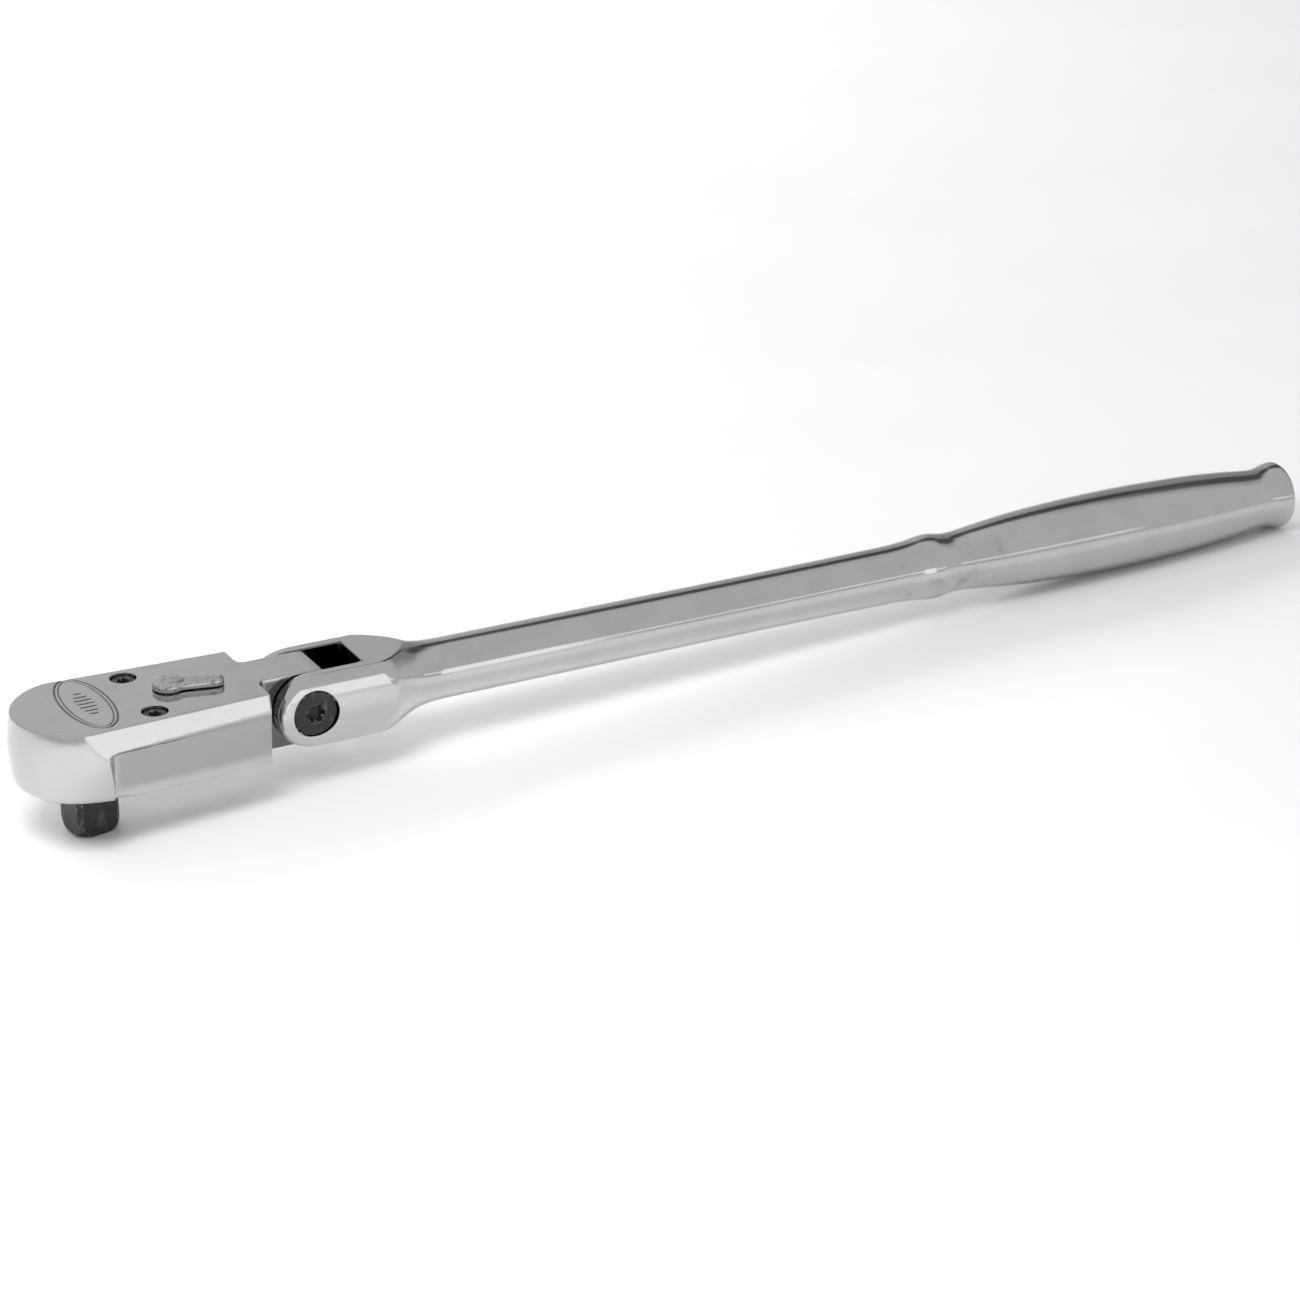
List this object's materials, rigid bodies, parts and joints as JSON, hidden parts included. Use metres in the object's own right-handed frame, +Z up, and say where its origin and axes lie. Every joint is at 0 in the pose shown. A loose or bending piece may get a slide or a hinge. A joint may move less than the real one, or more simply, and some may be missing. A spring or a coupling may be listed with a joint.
{
  "type": "flex-head ratchet wrench",
  "caption": "Long chrome ratchet wrench with a pear-shaped reversible head on a flex pivot, a square drive with a ball detent and a swelled smooth metal grip.",
  "frame": {"origin": "centre of the square drive's tip face, on the drive axis", "axes": "+Z up the drive axis from the tip to the reversing lever, +X along the straight handle towards its butt, +Y completes a right-handed frame; the pivot screw's head is on the -Y side"},
  "size_m": [0.3163, 0.0314, 0.0295],
  "materials": {
    "chrome": "bright chrome plate over polished forged steel",
    "black_oxide": "black oxide, satin, lightly oiled",
    "cast_zinc": "rough cast zinc, tumbled, dull nickel",
    "spring_steel": "plain spring steel",
    "pin_steel": "ground hardened steel",
    "rubber": "black nitrile rubber"
  },
  "bodies": {
    "handle": {"handle": "chrome", "pivot_screw": "black_oxide", "friction_washer_near": "spring_steel", "friction_washer_far": "spring_steel"},
    "head": {"head_housing": "chrome", "cover_plate": "chrome", "cover_screw_near": "black_oxide", "cover_screw_far": "black_oxide", "drive_seal": "rubber", "gear_washer": "spring_steel", "pawl_pin": "pin_steel"},
    "drive": {"drive_gear": "black_oxide", "ball_spring": "spring_steel"},
    "ball": {"drive_ball": "pin_steel"},
    "pawl": {"pawl": "pin_steel"},
    "lever": {"reverse_lever": "cast_zinc", "lever_clip": "spring_steel", "lever_o_ring": "rubber", "plunger_spring": "spring_steel"},
    "plunger": {"plunger": "pin_steel"}
  },
  "joints": [
    {"name": "flex", "type": "hinge", "parent": "handle", "child": "head", "pos_m": [0.0467, 0, 0.0192], "axis": [0, 1, 0], "range_deg": [-90, 90]},
    {"name": "drive_spin", "type": "hinge", "parent": "head", "child": "drive", "pos_m": [0, 0, 0.0183], "axis": [0, 0, 1], "continuous": true},
    {"name": "ball_slide", "type": "slide", "parent": "drive", "child": "ball", "axis": [-0.9925, -0.1219, 0], "range_m": [0, 0.0006], "stiffness_N_per_m": 3000},
    {"name": "reverse", "type": "hinge", "parent": "head", "child": "lever", "pos_m": [0.0185, 0, 0.0272], "axis": [0, 0, 1], "range_deg": [0, 32]},
    {"name": "pawl_rock", "type": "hinge", "parent": "head", "child": "pawl", "pos_m": [0.012, 0, 0.0184], "axis": [0, 0, 1], "range_deg": [-12.8, 0]},
    {"name": "plunger_slide", "type": "slide", "parent": "lever", "child": "plunger", "axis": [0.9613, -0.2756, 0], "range_m": [0, 0.0005], "stiffness_N_per_m": 2000}
  ],
  "couplings": [
    {"joint": "pawl_rock", "follows": "reverse", "ratio": -0.4}
  ]
}
